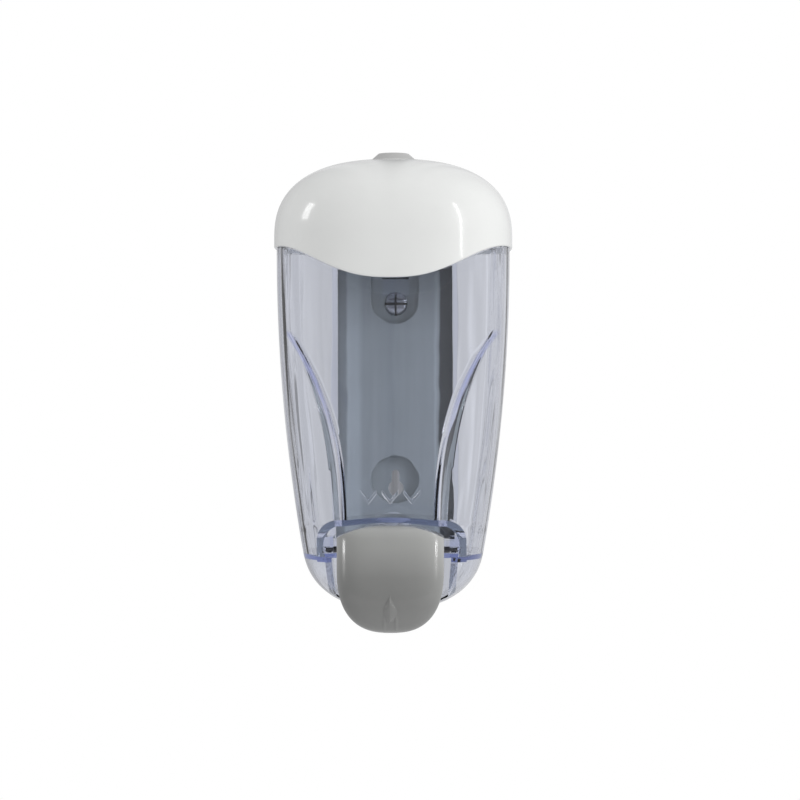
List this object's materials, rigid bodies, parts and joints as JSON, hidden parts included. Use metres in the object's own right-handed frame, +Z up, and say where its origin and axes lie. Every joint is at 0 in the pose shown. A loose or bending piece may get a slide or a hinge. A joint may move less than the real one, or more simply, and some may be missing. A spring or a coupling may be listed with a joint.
{
  "type": "wall mounted soap dispenser",
  "caption": "Wall mounted liquid soap dispenser: clear tapered tank hung on a bracket, domed lift-off lid with a cam lock, push lever working a piston pump.",
  "frame": {"origin": "on the wall plane, midway between the upper wall screw and the lower keyhole slot", "axes": "+Y into the wall, so the front faces -Y; +Z up; +X to the right seen from the front"},
  "size_m": [0.1186, 0.1356, 0.2349],
  "materials": {
    "bracket_plastic": "satin moulded grey ABS",
    "screw_steel": "zinc plated",
    "clear_plastic": "polished clear SAN with a bluish tint",
    "lid_plastic": "glossy white ABS",
    "lock_metal": "satin grey moulding",
    "plated_steel": "zinc plated sheet",
    "lever_plastic": "glossy warm grey ABS",
    "pin_steel": "blackened steel",
    "pump_plastic": "natural acetal",
    "seal_rubber": "black nitrile",
    "strainer_plastic": "pale grey polypropylene",
    "piston_plastic": "blue-grey acetal",
    "spring_steel": "drawn stainless wire",
    "ball_steel": "polished stainless"
  },
  "bodies": {
    "base": {"wall_bracket": "bracket_plastic", "wall_screw": "screw_steel", "tank": "clear_plastic", "pump_body": "pump_plastic", "pump_gasket": "seal_rubber", "pump_nut": "pump_plastic", "inlet_strainer": "strainer_plastic", "pump_cap": "pump_plastic", "return_spring": "spring_steel", "inlet_spring": "spring_steel", "inlet_cage": "pump_plastic", "outlet_spring": "spring_steel", "nozzle": "pump_plastic"},
    "lid_cover": {"lid": "lid_plastic", "lock_housing": "lock_metal", "lock_nut": "plated_steel"},
    "lock": {"lock_plug": "lock_metal", "lock_cam": "plated_steel", "cam_screw": "screw_steel"},
    "lever": {"push_lever": "lever_plastic", "lever_pins": "pin_steel"},
    "plunger": {"piston": "piston_plastic", "piston_ring": "seal_rubber"},
    "inlet_valve": {"inlet_ball": "ball_steel"},
    "outlet_valve": {"outlet_ball": "ball_steel"}
  },
  "joints": [
    {"name": "lever_push", "type": "hinge", "parent": "base", "child": "lever", "pos_m": [0, -0.078, -0.0784], "axis": [1, 0, 0], "range_deg": [0, 18], "stiffness_Nm_per_rad": 0.21, "springref_deg": -20.05},
    {"name": "piston_slide", "type": "slide", "parent": "base", "child": "plunger", "axis": [0, 1, 0], "range_m": [0, 0.0071], "deforming": ["return_spring"]},
    {"name": "lid_lift", "type": "slide", "parent": "base", "child": "lid_cover", "axis": [0, 0, 1], "range_m": [0, 0.04]},
    {"name": "lock_turn", "type": "hinge", "parent": "lid_cover", "child": "lock", "pos_m": [0, -0.045, 0.1], "axis": [0, 0, 1], "range_deg": [0, 90]},
    {"name": "inlet_ball_drop", "type": "slide", "parent": "base", "child": "inlet_valve", "axis": [0, 0, -1], "range_m": [0, 0.0015], "stiffness_N_per_m": 50, "springref_m": -0.002, "deforming": ["inlet_spring"]},
    {"name": "outlet_ball_drop", "type": "slide", "parent": "base", "child": "outlet_valve", "axis": [0, 0, -1], "range_m": [0, 0.0012], "stiffness_N_per_m": 60, "springref_m": -0.002, "deforming": ["outlet_spring"]}
  ],
  "couplings": [
    {"joint": "piston_slide", "follows": "lever_push", "m_per_rad": 0.0225}
  ]
}
